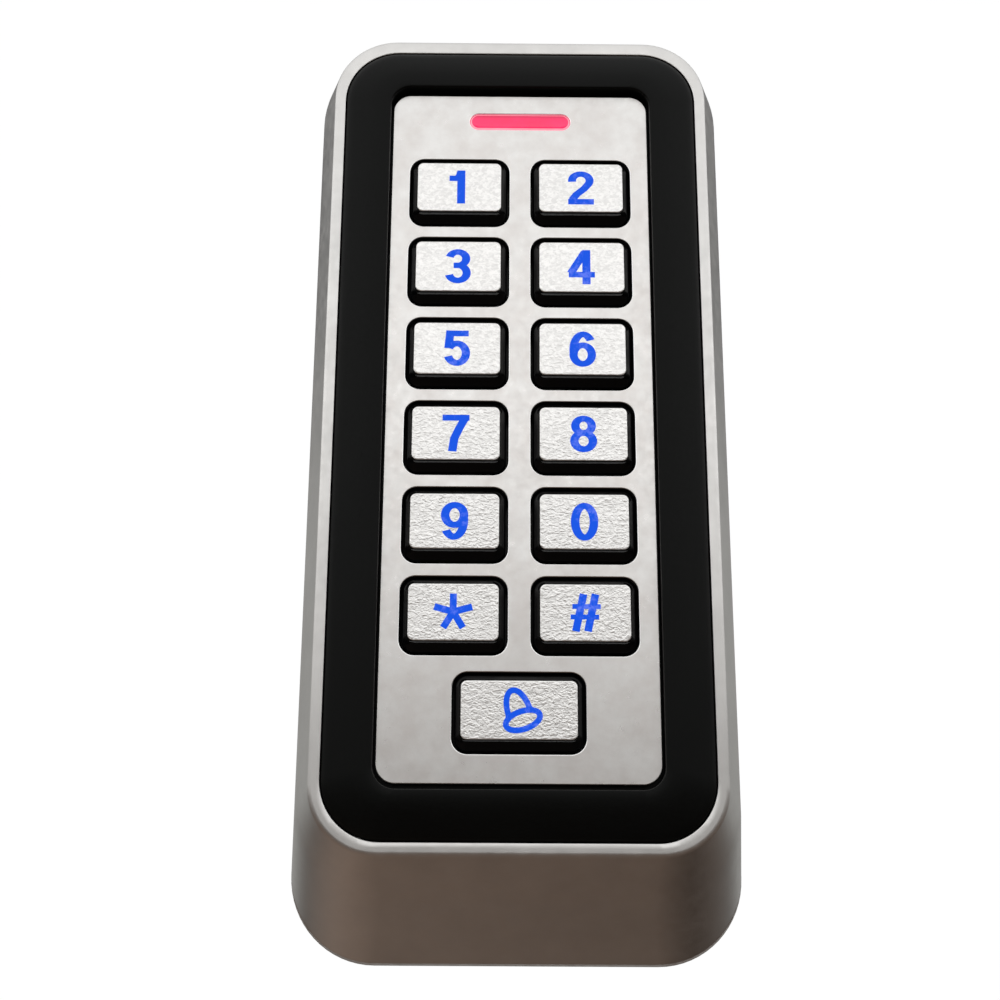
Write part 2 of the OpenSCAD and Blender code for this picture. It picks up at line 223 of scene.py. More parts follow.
def carve(piece, bm, operation="DIFFERENCE"):
    """Cuts the shape in bm out of a piece, or adds it."""
    bmesh.ops.recalc_face_normals(bm, faces=bm.faces)
    mesh = bpy.data.meshes.new("cutter")
    bm.to_mesh(mesh)
    bm.free()
    cutter = bpy.data.objects.new("cutter", mesh)
    bpy.context.scene.collection.objects.link(cutter)
    cut = piece.modifiers.new("carve", "BOOLEAN")
    cut.operation = operation
    cut.solver = "EXACT"
    cut.object = cutter
    while piece.modifiers[0] != cut:
        piece.modifiers.remove(piece.modifiers[0])
    graph = bpy.context.evaluated_depsgraph_get()
    carved = bpy.data.meshes.new_from_object(piece.evaluated_get(graph))
    piece.modifiers.clear()
    old = piece.data
    piece.data = carved
    carved.name = old.name
    bpy.data.meshes.remove(old)
    bpy.data.objects.remove(cutter)
    bpy.data.meshes.remove(mesh)
    carved.shade_smooth()
    carved.set_sharp_from_angle(angle=radians(35))
    piece.modifiers.new("flat faces", "WEIGHTED_NORMAL").keep_sharp = True


def circle(bm, radius, place, segments=48):
    """Adds a circle at a place; returns its edges."""
    made = bmesh.ops.create_circle(bm, segments=segments, radius=radius, matrix=place)
    return list(dict.fromkeys(edge for vert in made["verts"] for edge in vert.link_edges))


def lathe(points, centre, axis, steps, closed=False):
    """A bmesh made by spinning a profile about an axis."""
    bm = bmesh.new()
    profile = [bm.verts.new(point) for point in points]
    following = profile[1:] + profile[:1] if closed else profile[1:]
    edges = [bm.edges.new(pair) for pair in zip(profile, following)]
    bmesh.ops.spin(bm, geom=profile + edges, cent=centre, axis=axis, angle=2 * pi,
                   steps=steps, use_merge=True)
    return bm


def bar(bm, x, z, radius, near, far, segments=32):
    """Adds a round bar that stands out of the wall from near to far."""
    middle = Matrix.Translation((x, -(near + far) / 2, z))
    bmesh.ops.create_cone(bm, cap_ends=True, segments=segments, radius1=radius,
                          radius2=radius, depth=far - near,
                          matrix=middle @ Matrix.Rotation(pi / 2, 4, "X"))


# ---- material helpers ----------------------------------------------------

# A Mix node has a set of sockets for each kind of data.  These are the colour ones.
MIX_FIRST, MIX_SECOND, MIX_RESULT = 6, 7, 2


class Finish:
    """A procedural material built on one Principled shader."""

    def __init__(self, name, base, roughness, metallic=0.0, **sockets):
        self.material = bpy.data.materials.new(name)
        self.material.use_nodes = True
        self.tree = self.material.node_tree
        self.shader = self.tree.nodes["Principled BSDF"]
        self.set("Base Color", (*base, 1))
        self.set("Roughness", roughness)
        self.set("Metallic", metallic)
        for socket, value in sockets.items():
            self.set(socket.replace("_", " "), value)
        self.place = self.add("ShaderNodeTexCoord").outputs["Object"]

    def set(self, socket, value):
        """Sets a constant on the shader."""
        self.shader.inputs[socket].default_value = value

    def add(self, kind, **values):
        """Adds a node and sets its inputs."""
        node = self.tree.nodes.new(kind)
        for name, value in values.items():
            node.inputs[name.replace("_", " ")].default_value = value
        return node

    def link(self, out, into):
        """Links two sockets."""
        self.tree.links.new(out, into)

    def stretch(self, x, y, z):
        """Object coordinates scaled along each axis."""
        node = self.add("ShaderNodeMapping", Scale=(x, y, z))
        self.link(self.place, node.inputs["Vector"])
        return node.outputs["Vector"]

    def noise(self, grain, detail=3.0, rough=0.55, vector=None, twist=0.0):
        """Noise whose features are about grain millimetres across."""
        node = self.add("ShaderNodeTexNoise", Scale=1 / (grain * MM), Detail=detail,
                        Roughness=rough, Distortion=twist)
        self.link(vector or self.place, node.inputs["Vector"])
        return node.outputs["Fac"]

    def ramp(self, value, low, high, start, end):
        """Maps value from low..high to start..end."""
        node = self.add("ShaderNodeMapRange", From_Min=low, From_Max=high,
                        To_Min=start, To_Max=end)
        self.link(value, node.inputs["Value"])
        return node.outputs["Result"]

    def height(self):
        """Height up the wall."""
        axes = self.add("ShaderNodeSeparateXYZ")
        self.link(self.place, axes.inputs["Vector"])
        return axes.outputs["Z"]

    def combine(self, operation, first, second):
        """Adds or multiplies two values."""
        node = self.add("ShaderNodeMath")
        node.operation = operation
        self.link(first, node.inputs[0])
        self.link(second, node.inputs[1])
        return node.outputs["Value"]

    def blend(self, factor, first, second, into="Base Color"):
        """Mixes two colours by a factor into a shader socket."""
        node = self.tree.nodes.new("ShaderNodeMix")
        node.data_type = "RGBA"
        self.link(factor, node.inputs["Factor"])
        node.inputs[MIX_FIRST].default_value = (*first, 1)
        node.inputs[MIX_SECOND].default_value = (*second, 1)
        self.link(node.outputs[MIX_RESULT], self.shader.inputs[into])

    def bump(self, height, depth, strength=1.0):
        """Bump whose full height is depth millimetres; calls stack up."""
        node = self.add("ShaderNodeBump", Distance=depth * MM)
        if isinstance(strength, float):
            node.inputs["Strength"].default_value = strength
        else:
            self.link(strength, node.inputs["Strength"])
        self.link(height, node.inputs["Height"])
        normal = self.shader.inputs["Normal"]
        if normal.is_linked:
            self.link(normal.links[0].from_socket, node.inputs["Normal"])
        self.link(node.outputs["Normal"], normal)


def tinted(colour, factor):
    """A colour made lighter or darker."""
    return tuple(min(1.0, channel * factor) for channel in colour)


def satin_nickel(base):
    """Die-cast metal with a fine satin nickel finish and faint clouding."""
    made = Finish("satin_nickel", base, 0.34, 1.0)
    clouds = made.noise(7.0, 4.0)
    made.blend(made.ramp(clouds, 0.3, 0.7, 0, 1), tinted(base, 0.94), tinted(base, 1.05))
    made.link(made.ramp(made.noise(1.4, 5.0), 0.3, 0.7, 0.30, 0.40),
              made.shader.inputs["Roughness"])
    made.bump(made.noise(0.12, 3.0, 0.7), 0.004)
    made.bump(made.noise(2.2, 2.0), 0.012, 0.6)
    return made.material


def satin_face(base):
    """Flat satin silver plate with soft blotches from its surface treatment."""
    made = Finish("satin_face", base, 0.3, 1.0)
    blotches = made.noise(3.2, 5.0, 0.6)
    warm = (base[0] * 0.94, base[1] * 0.915, base[2] * 0.905)
    made.blend(made.ramp(blotches, 0.32, 0.68, 0, 1), warm, tinted(base, 1.05))
    made.link(made.ramp(made.noise(1.1, 4.0), 0.3, 0.7, 0.27, 0.37),
              made.shader.inputs["Roughness"])
    made.bump(made.noise(0.10, 3.0, 0.7), 0.003)
    made.bump(made.noise(2.6, 3.0), 0.02, 0.6)
    return made.material


def silver_coat(base):
    """Silver paint with a wrinkled skin that wear has made smoother on the upper keys, and with
    painted light that makes the upper keys darker and the lower keys lighter.
    """
    made = Finish("silver_coat", base, 0.32, 0.9)
    smooth_from, rough_from = 34 * MM, -10 * MM
    height = made.height()
    rough_skin = made.ramp(height, smooth_from, rough_from, 0.2, 1.0)
    wrinkles = made.noise(0.5, 2.5, 0.5, made.stretch(0.8, 1, 1.2), 0.9)
    # Painted light: the height ramp in this blend darkens the upper keys and lightens the lower
    # ones; the wrinkle ramp makes the colour darker where the wrinkles are low.
    shade = made.combine("ADD", made.ramp(wrinkles, 0.35, 0.62, 0, 1),
                         made.ramp(height, smooth_from, rough_from, -0.15, 0.25))
    made.blend(shade, tinted(base, 0.84), tinted(base, 1.06))
    made.bump(wrinkles, 0.11, rough_skin)
    made.bump(made.noise(0.2, 2.0), 0.012, rough_skin)
    return made.material


def gloss_black(base):
    """Glossy moulded black with a faint flow pattern."""
    made = Finish("gloss_black", base, 0.16, Specular_IOR_Level=0.11)
    made.link(made.ramp(made.noise(1.5, 3.0), 0.3, 0.7, 0.12, 0.22),
              made.shader.inputs["Roughness"])
    made.bump(made.noise(0.8, 2.0), 0.003)
    return made.material


def moulded_black(base):
    """Fine-textured matte black moulding."""
    made = Finish("moulded_black", base, 0.4, Specular_IOR_Level=0.11)
    made.blend(made.ramp(made.noise(9.0, 3.0), 0.3, 0.7, 0, 1),
               tinted(base, 0.85), tinted(base, 1.2))
    made.link(made.ramp(made.noise(0.5, 3.0), 0.3, 0.7, 0.35, 0.45),
              made.shader.inputs["Roughness"])
    made.bump(made.noise(0.16, 2.0), 0.005)
    return made.material


def lit_legend(base):
    """Backlit legend: saturated, with paler patches where the light shows through."""
    made = Finish("lit_legend", tinted(base, 0.3), 0.45, Emission_Strength=1.0,
                  Specular_IOR_Level=0.2)
    patches = made.noise(5.0, 2.0)
    grain = made.noise(0.7, 4.0, 0.65)
    wear_and_painted_reflection = made.ramp(made.combine("MULTIPLY", patches, grain), 0.27, 0.4, 0, 0.8)
    worn_blue = (0.13, 0.2, 0.8)
    made.blend(wear_and_painted_reflection, base, worn_blue, "Emission Color")
    return made.material


def lit_lens(base, name, top):
    """Light bar that glows all over, with a painted shadow that dims it near its top edge, at
    height top.
    """
    made = Finish(name, tinted(base, 0.25), 0.14, Emission_Strength=1.0)
    cloud = made.ramp(made.noise(2.5, 3.0), 0.35, 0.75, 0, 0.5)
    made.blend(cloud, base, tinted(base, 1.6), "Emission Color")
    # Painted shadow: the emission strength falls towards the top edge.
    glow_under_painted_shadow = made.ramp(made.height(), top - 0.95 * MM, top - 0.45 * MM, 0.98, 0.66)
    made.link(glow_under_painted_shadow, made.shader.inputs["Emission Strength"])
    made.bump(made.noise(0.9, 2.0), 0.01)
    return made.material


def plain(name, base, roughness, metallic=0.0, grain=0.4, contrast=0.12, relief=0.004):
    """A quiet finish: colour and roughness vary a little with a fine grain."""
    made = Finish(name, base, roughness, metallic)
    speck = made.noise(grain, 4.0)
    made.blend(made.ramp(speck, 0.3, 0.7, 0, 1), tinted(base, 1 - contrast),
               tinted(base, 1 + contrast))
    made.link(made.ramp(speck, 0.3, 0.7, roughness * 0.85, min(1, roughness * 1.15)),
              made.shader.inputs["Roughness"])
    made.bump(speck, relief)
    return made.material


# ---- casing --------------------------------------------------------------

class READER_OT_casing(bpy.types.Operator):
    """Make the die-cast casing with its rim, flare and sloped bottom"""
    bl_idname = "reader.casing"
    bl_label = "Casing"

    def execute(self, context):
        size = context.scene.reader_casing
        case = Span("front_case")
        module = Span("keypad_frame")
        wall = size.wall
        rim_mid = module.z + size.rim_up
        rim_low = rim_mid - size.rim_h / 2
        slope_end = case.bottom + size.foot_lip
        slope = (rim_low - slope_end) / (case.front - size.foot_h)

        def ring(width, low, high, corner, depth):
            """Loop of the casing's body from one height to another."""
            return outline(bm, width, high - low, corner, (0, (low + high) / 2),
                           depth, BIG_CORNER)

        def rim(inset, depth):
            """Loop of the front rim."""
            return outline(bm, size.rim_w - 2 * inset, size.rim_h - 2 * inset,
                           size.rim_corner - inset, (0, rim_mid), depth, BIG_CORNER)

        def opening(width, height, corner, depth):
            """Loop of the way that takes the keypad module."""
            return outline(bm, width, height, corner, (0, module.z), depth, BIG_CORNER)

        # Outside: a short step at the foot, and a shoulder a little outside the slope.
        bm = bmesh.new()
        foot_step, belly = 0.02 * MM, 0.3 * MM
        shoulder_low = rim_low - slope * (case.front - size.shoulder_h) - belly
        shoulder_high = case.top - size.shoulder_in
        rear = ring(case.width, case.bottom, case.top, size.corner, size.rear_h)
        foot = ring(case.width, case.bottom, case.top, size.corner, size.foot_h - foot_step)
        lip = ring(case.width - foot_step, slope_end, case.top - foot_step / 2, size.corner,
                   size.foot_h)
        shoulder = ring(size.shoulder_w, shoulder_low, shoulder_high, size.corner,
                        size.shoulder_h)

        # Front: the rim is slightly dished, and rolls over into the module's pocket.
        dish, dish_in = 0.014 * MM, 1.0 * MM
        pocket_w, pocket_h = module.width + 0.2 * MM, module.height + 0.2 * MM
        pocket_corner = 8.2 * MM
        roll = ((0.17 * MM, dish), (0.03 * MM, 0.09 * MM), (0, 0.22 * MM))
        pocket = [opening(pocket_w + 2 * out, pocket_h + 2 * out, pocket_corner + out,
                          case.front - drop) for out, drop in roll]
        pocket.append(opening(pocket_w, pocket_h, pocket_corner, size.ledge_h))
        roof_h = size.ledge_h - 2 * MM
        mouth_w, mouth_h, mouth_corner = 49 * MM, 106 * MM, 5 * MM
        ledge = [opening(mouth_w, mouth_h, mouth_corner, depth)
                 for depth in (size.ledge_h, roof_h)]

        # Inside: the walls follow the outside at the wall's thickness.
        across = wall * (1 + slope * slope) ** 0.5
        roof_low = rim_low - slope * (case.front - roof_h) + across
        inner_w, inner_corner = case.width - 2 * wall, size.corner - wall
        inner_low, inner_high = case.bottom + wall, case.top - wall
        roof = ring(size.shoulder_w - 2 * wall, roof_low, shoulder_high - wall,
                    inner_corner, roof_h)
        low_wall = ring(inner_w, inner_low, inner_high, inner_corner, size.foot_h - MM)
        inner_rear = ring(inner_w, inner_low, inner_high, inner_corner, size.rear_h)

        rim_edge = rim(0, case.front)
        crown = rim(dish_in, case.front - dish)
        skin(bm, [rear, foot, lip, shoulder, rim_edge, crown])
        cap(bm, crown, pocket[0])
        skin(bm, pocket + ledge)
        skin(bm, [roof, low_wall, inner_rear])
        cap(bm, roof, ledge[-1])
        cap(bm, rear, inner_rear)
        soften(bm, rim_edge, size.rim_round, 5)
        soften(bm, shoulder, size.shoulder_round)
        soften(bm, foot, size.edge_round)
        piece = finish_piece(bm, "casing", satin_nickel(context.scene.reader_finish.casing))
        self.cut_screw_way(piece, case)
        self.add_lugs(piece, case, wall)
        join_piece(piece, BODY, "cast_case", "front_case")
        return {"FINISHED"}

    def cut_screw_way(self, piece, case):
        """Cuts the security screw's hole and counterbore up through the lowest wall."""
        screw = Span("security_screw")
        depth = (screw.front + screw.back) / 2
        way = bmesh.new()
        counterbore, hole = 2.9 * MM, 1.7 * MM
        steps = ((counterbore, -1.0), (counterbore, 1.2), (hole, 1.2), (hole, 3.0))
        loops = [circle(way, radius, Matrix.Translation((0, -depth, case.bottom + rise * MM)))
                 for radius, rise in steps]
        skin(way, loops[:2])
        cap(way, loops[1], loops[2])
        skin(way, loops[2:])
        cap(way, loops[0])
        cap(way, loops[3])
        carve(piece, way)

    def add_lugs(self, piece, case, wall):
        """Adds the two lugs that the wall plate's hooks reach over."""
        depth, drop = 4.3 * MM, 0.6 * MM
        lug_size = Matrix.Diagonal((10 * MM, 1.8 * MM, 2.4 * MM, 1))
        for x in (-HOOK_X, HOOK_X):
            lug = bmesh.new()
            middle = Matrix.Translation((x, -depth, case.top - wall - drop))
            bmesh.ops.create_cube(lug, size=1, matrix=middle @ lug_size)
            carve(piece, lug, "UNION")


# ---- keypad module -------------------------------------------------------

def key_windows():
    """Centre, width and height of each key window, from the keys' flanges."""
    size = bpy.context.scene.reader_module
    for key in KEYS:
        flange = Span("key_body_" + key)
        yield ((flange.x, flange.z), flange.width - 2 * size.flange,
               flange.height - 2 * size.flange)


def light_slot():
    """Centre, width and height of the light bar where it passes the face."""
    flange = Span("led_lens")
    return (flange.x, flange.z), flange.width - 2 * MM, flange.height - 2 * MM


def holes(bm, depth, spread, slot_spread):
    """Adds the loops of all windows and of the light slot at one depth."""
    corner = bpy.context.scene.reader_module.window_corner
    loops = [outline(bm, width + spread, height + spread, corner + spread / 2,
                     centre, depth)
             for centre, width, height in key_windows()]
    centre, width, height = light_slot()
    loops.append(outline(bm, width + slot_spread, height + slot_spread, height,
                         centre, depth))
    return loops


class READER_OT_frame(bpy.types.Operator):
    """Make the black moulded frame with its rounded lip, windows and posts"""
    bl_idname = "reader.frame"
    bl_label = "Black frame"

    def execute(self, context):
        size = context.scene.reader_module
        module = Span("keypad_frame")
        plate = Span("face_plate")
        adhesive = Span("plate_adhesive")
        crown = module.front
        back = context.scene.reader_casing.ledge_h
        lip_w = plate.width + 2 * size.side_gap
        lip_h = plate.height + 2 * size.end_gap
        reach = (module.width - lip_w) / 2
        reach_end = (module.height - lip_h) / 2
        lip_corner = size.plate_corner + 0.4 * MM

        def level(share, depth):
            """Loop between the outer edge (share 0) and the lip (share 1)."""
            radius = size.frame_corner + share * (lip_corner - size.frame_corner)
            return outline(bm, module.width - 2 * share * reach,
                           module.height - 2 * share * reach_end,
                           radius, (0, module.z), depth, BIG_CORNER)

        # The lip's section is shares of the way inwards and drops from its crown.
        bm = bmesh.new()
        profile = ((0, 2.15), (0.015, 1.85), (0.05, 1.55), (0.11, 1.27), (0.2, 1.02),
                   (0.36, 0.64), (0.55, 0.27), (0.7, 0.08), (0.84, 0.0), (0.955, 0.01),
                   (0.985, 0.07), (0.997, 0.18), (1, 0.4))
        outer = [level(0, back)]
        outer += [level(share, crown - drop * MM) for share, drop in profile]
        outer.append(level(1, adhesive.back))
        under = back + 2 * MM
        skirt_w, skirt_h, skirt_corner = 48.6 * MM, 105.6 * MM, 4.8 * MM
        skirt = [outline(bm, skirt_w, skirt_h, skirt_corner, (0, module.z), depth, BIG_CORNER)
                 for depth in (under, back)]
        skin(bm, outer)
        cap(bm, outer[0], skirt[1])
        skin(bm, skirt)
        slot_play = 0.2 * MM
        front_holes = holes(bm, adhesive.back, 0, slot_play)
        rear_holes = holes(bm, under, 0, slot_play)
        for near, far in zip(front_holes, rear_holes):
            skin(bm, [near, far])
        cap(bm, outer[-1], *front_holes)
        cap(bm, skirt[0], *rear_holes)
        post_x, post_radius = 19.4 * MM, 1.75 * MM
        for x in (-post_x, post_x):
            for z in (44 * MM, -3.2 * MM, -51 * MM):
                bar(bm, x, module.z + z, post_radius, Span("main_board").front, under)
        piece = finish_piece(bm, "frame_moulding",
                             moulded_black(context.scene.reader_finish.frame))
        self.cut_groove(piece, back)
        join_piece(piece, BODY, "black_frame", "keypad_frame")
        return {"FINISHED"}

    def cut_groove(self, piece, back):
        """Cuts the groove that holds the antenna winding."""
        coil = Span("antenna_coil")
        groove = bmesh.new()
        low, high = back - MM, coil.front + 0.2 * MM
        outside, inside = (0.2 * MM, 5.1 * MM), (-3.4 * MM, 3.3 * MM)
        sides = [[outline(groove, coil.width + spread, coil.height + spread, corner,
                          (0, coil.z), depth, BIG_CORNER) for depth in (low, high)]
                 for spread, corner in (outside, inside)]
        skin(groove, sides[0])
        skin(groove, sides[1])
        for first, second in zip(*sides):
            cap(groove, first, second)
        carve(piece, groove)


class READER_OT_face(bpy.types.Operator):
    """Make the metal face plate with its windows and light slot"""
    bl_idname = "reader.face"
    bl_label = "Metal face"

    def execute(self, context):
        size = context.scene.reader_module
        plate = Span("face_plate")
        edge = size.plate_edge
        # Each step is a depth and an inset in shares of the edge's rounding.
        steps = ((plate.back, 0), (plate.front - edge, 0),
                 (plate.front - 0.3 * edge, 0.3), (plate.front - 0.0004 * MM, 1),
                 (plate.front, 1.4))
        slot_play = 0.1 * MM
        bm = bmesh.new()
        outer = [outline(bm, plate.width - 2 * edge * inset,
                         plate.height - 2 * edge * inset,
                         size.plate_corner - edge * inset, (0, plate.z), depth,
                         PLATE_CORNER) for depth, inset in steps]
        skin(bm, outer)
        levels = [holes(bm, depth, 2 * edge * inset, slot_play + 2 * edge * inset)
                  for depth, inset in steps]
        for loops in zip(*levels):
            skin(bm, list(loops))
        cap(bm, outer[0], *levels[0])
        cap(bm, outer[-1], *levels[-1])
        piece = finish_piece(bm, "metal_face", satin_face(context.scene.reader_finish.face))
        # The rounded front edges of the face and of its windows get a paler, glossier metal as
        # a painted highlight.
        piece.data.materials.append(plain("painted_edge_highlight", (0.93, 0.93, 0.92), 0.22, 1.0, 0.3, 0.04))
        for facet in piece.data.polygons:
            if facet.center.y > -plate.front and 0.2 < -facet.normal.y < 0.97:
                facet.material_index = 1
        join_piece(piece, BODY, "face_metal", "face_plate")
        return {"FINISHED"}


class READER_OT_light_bar(bpy.types.Operator):
    """Make the lit status light bar with its flange and foot"""
    bl_idname = "reader.light_bar"
    bl_label = "Light bar"

    def execute(self, context):
        lens = Span("led_lens")
        centre, width, height = light_slot()
        bm = bmesh.new()

        def level(across, high, depth, corner=1.0):
            """Loop with round ends; corner 0.5 gives it half the rounding."""
            return outline(bm, across, high, corner * high / 2, centre, depth)

        flange_low = context.scene.reader_casing.ledge_h + 0.9 * MM
        flange_high = flange_low + MM
        foot_w, foot_h = 12.6 * MM, 2 * MM
        loops = [level(foot_w, foot_h, lens.back, 0.5), level(foot_w, foot_h, flange_low, 0.5),
                 level(lens.width, lens.height, flange_low),
                 level(lens.width, lens.height, flange_high),
                 level(width, height, flange_high)]
        crown = lens.front
        for inset, drop in ((0, 0.34), (0.08, 0.2), (0.25, 0.08), (0.55, 0.0)):
            loops.append(level(width - 2 * inset * MM, height - 2 * inset * MM,
                               crown - drop * MM))
        skin(bm, loops)
        cap(bm, loops[0])
        cap(bm, loops[-1])
        # The paler pink on the crown's rounded edge is a painted highlight.
        tint, painted_highlight_tint = context.scene.reader_finish.light_bar, (1.0, 0.28, 0.36)
        top = centre[1] + height / 2
        piece = finish_piece(bm, "light_bar", lit_lens(tint, "lit_lens", top), sharp=50)
        piece.data.materials.append(lit_lens(painted_highlight_tint, "lit_lens_painted_highlight", top + MM))
        for face in piece.data.polygons:
            front = -face.center.y
            if crown - 0.3 * MM < front < crown - 0.06 * MM:
                face.material_index = 1
        join_piece(piece, BODY, "status_lens", "led_lens")
        return {"FINISHED"}


# ---- keys ----------------------------------------------------------------

class READER_OT_key_tops(bpy.types.Operator):
    """Make the silver key tops"""
    bl_idname = "reader.key_tops"
    bl_label = "Key tops"

    def execute(self, context):
        coat = silver_coat(context.scene.reader_finish.key_top)
        side = plain("key_top_side", (0.012, 0.012, 0.012), 0.35)
        # Each loop is an inset, a rise from the skirt and a corner radius.
        profile = ((0.0, 0.0, 0.85), (0.0, 0.12, 0.85), (0.0, 0.25, 0.85),
                   (0.02, 0.33, 0.83), (0.06, 0.375, 0.8), (0.12, 0.395, 0.75),
                   (0.24, 0.4, 0.66))
        for key in KEYS:
            top = Span("key_cap_" + key)
            bm = bmesh.new()
            loops = [outline(bm, top.width - 2 * inset * MM, top.height - 2 * inset * MM,
                             corner * MM, (top.x, top.z), top.back + rise * MM)
                     for inset, rise, corner in profile]
            skin(bm, loops)
            cap(bm, loops[0])
            cap(bm, loops[-1])
            piece = finish_piece(bm, "key_top_" + key, coat, sharp=60)
            piece.data.materials.append(side)
            for facet in piece.data.polygons:
                if facet.normal.y > -0.5:
                    facet.material_index = 1
            join_piece(piece, "key_" + key, "key_silver", "key_cap_" + key)
        return {"FINISHED"}


class READER_OT_key_skirts(bpy.types.Operator):
    """Make the glossy black key skirts with their flanges and stems"""
    bl_idname = "reader.key_skirts"
    bl_label = "Key skirts"

    def execute(self, context):
        gloss = gloss_black(context.scene.reader_finish.key_side)
        # Grey for a painted reflection along the lower front edge of each skirt.
        wear_and_painted_reflection = plain("key_lip_painted_reflection", (0.09, 0.092, 0.094), 0.3)
        for key, window in zip(KEYS, key_windows()):
            self.make_skirt(context.scene.reader_module, key, window, gloss, wear_and_painted_reflection)
        return {"FINISHED"}

    def make_skirt(self, size, key, window, gloss, wear_and_painted_reflection):
        """Makes one skirt, with a grey painted reflection along the lower side of its front
        edge.
        """
        face = Span("face_plate")
        body = Span("key_body_" + key)
        top = Span("key_cap_" + key)
        centre, window_w, window_h = window
        skirt_w = window_w - 2 * size.key_gap
        skirt_h = window_h - 2 * size.key_gap
        corner = size.window_corner - size.key_gap
        flange_low = body.back + 0.5 * MM
        flange_high = flange_low + MM
        bm = bmesh.new()

        def level(width, height, radius, depth, share=0.0):
            """Loop whose middle moves from the window's (share 0) to the top's (1)."""
            middle = (centre[0], centre[1] + share * (top.z - centre[1]))
            return outline(bm, width, height, radius, middle, depth)

        hollow_w, hollow_h, hollow_corner = skirt_w - 1.8 * MM, skirt_h - 1.8 * MM, 0.9 * MM
        roof = face.front - 1.1 * MM
        loops = [level(hollow_w, hollow_h, hollow_corner, roof),
                 level(hollow_w, hollow_h, hollow_corner, flange_low),
                 level(body.width, body.height, corner + MM, flange_low),
                 level(body.width, body.height, corner + MM, flange_high),
                 level(skirt_w, skirt_h, corner, flange_high),
                 level(skirt_w, skirt_h, corner, face.front - 0.45 * MM)]
        for share, lift in ((0.05, -0.2), (0.16, -0.03), (0.32, 0.1)):
            loops.append(level(skirt_w + share * (top.width - skirt_w),
                               skirt_h + share * (top.height - skirt_h),
                               corner + share * (MM - corner),
                               face.front + lift * MM, share))
        for extra, drop in ((0.4, 0.35), (0.3, 0.15), (0.16, 0.04), (-0.1, 0)):
            loops.append(level(top.width + extra * MM, top.height + extra * MM,
                               (0.85 + extra / 2) * MM, top.back - drop * MM, 1))
        skin(bm, loops)
        cap(bm, loops[0])
        cap(bm, loops[-1])
        stem_radius = 2.2 * MM
        bar(bm, *centre, stem_radius, body.back, roof)
        piece = finish_piece(bm, "key_skirt_" + key, gloss, sharp=40)
        piece.data.materials.append(wear_and_painted_reflection)
        # Facets low on the front edge, under the top, get the grey painted reflection.
        lip_top, lip_back = top.bottom - 0.02 * MM, top.back - 0.36 * MM
        for facet in piece.data.polygons:
            if facet.center.z < lip_top and -facet.center.y > lip_back:
                facet.material_index = 1
        join_piece(piece, "key_" + key, "key_black", "key_body_" + key)


# ---- legends -------------------------------------------------------------

# A digit is drawn with a flat pen round its middle, in millimetres: the pen's own
# middle stays within CELL_X to each side and CELL_Y up and down.  It is then made
# WIDEN times as wide.  A stroke is its points, its pen's width and its widening.
CELL_X, CELL_Y = 0.97, 2.285
PEN = 0.88
WIDEN = 1.36
SUNK, RAISED = 0.1 * MM, 0.02 * MM


def arc(x, y, rx, ry, start, end, steps=14):
    """Points along an elliptical arc, in degrees from the right, anticlockwise."""
    return [(x + rx * cos(radians(start + (end - start) * i / steps)),
             y + ry * sin(radians(start + (end - start) * i / steps)))
            for i in range(steps + 1)]


def digit_strokes(name):
    """The pen strokes of one digit."""
    x, y, half = CELL_X, CELL_Y, PEN / 2
    if name == "9":
        return [[(-px, -py) for px, py in stroke] for stroke in digit_strokes("6")]
    if name == "0":
        return [arc(0, 0, x, y, 0, 360, 40)]
    if name == "1":
        return [[(0.2, -y - half), (0.2, y + half)],
                [(-1.1, 1.42), (-0.35, 1.42), (0.0, 1.7), (0.16, 2.5)]]
    if name == "2":
        return [arc(0, 1.2, x, y - 1.2, 190, -28, 18)
                + [(0.35, -0.15), (-0.45, -1.05), (-0.85, -1.75), (-0.93, -y)],
                [(-x - half, -y), (x + half, -y)]]
    if name == "3":
        return [arc(-0.05, 1.2, 0.9, y - 1.2, 165, -90, 18),
                arc(-0.05, -1.07, x, y - 1.07, 90, -165, 18),
                [(-0.5, 0.13), (0, 0.13)]]
    if name == "4":
        return [[(0.35, y + 0.15), (-x - 0.2, -0.95)],
                [(-x - half, -1.2), (x + half, -1.2)],
                [(0.5, y + half), (0.5, -y - half)]]
    if name == "5":
        return [[(-0.8, y), (x + 0.25, y)], [(-0.72, y + half), (-0.92, 0.0)],
                arc(-0.02, -0.78, x, y - 0.78, 148, -162, 20)]
    if name == "6":
        return [arc(0, -0.85, x, y - 0.85, 0, 360, 32),
                arc(0.05, -0.1, x + 0.05, y + 0.1, 38, 190, 18)]
    if name == "7":
        return [[(-x - half, y), (x + half, y)],
                [(x, y), (0.35, 0.7), (-0.15, -0.8), (-0.35, -y - half)]]
    return [arc(0, 1.2, 0.86, y - 1.2, 0, 360, 28),
            arc(0, -1.07, x, y - 1.07, 0, 360, 28)]


def star_strokes():
    """Five arms from one point."""
    ends = ((0, 2.55), (-2.6, 0.72), (2.6, 0.72), (-1.35, -2.2), (1.35, -2.2))
    return [[(0, 0), end] for end in ends]


def hash_strokes():
    """Two wide leaning bars."""
    lean = 0.55
    return [[(x - lean, -2.6), (x + lean, 2.6)] for x in (-0.8, 0.85)]


def hash_crossbars():
    """The two thinner level bars across them."""
    return [[(-1.9 + shift, y), (2.0 + shift, y)] for y, shift in ((0.85, 0.1), (-0.6, -0.15))]


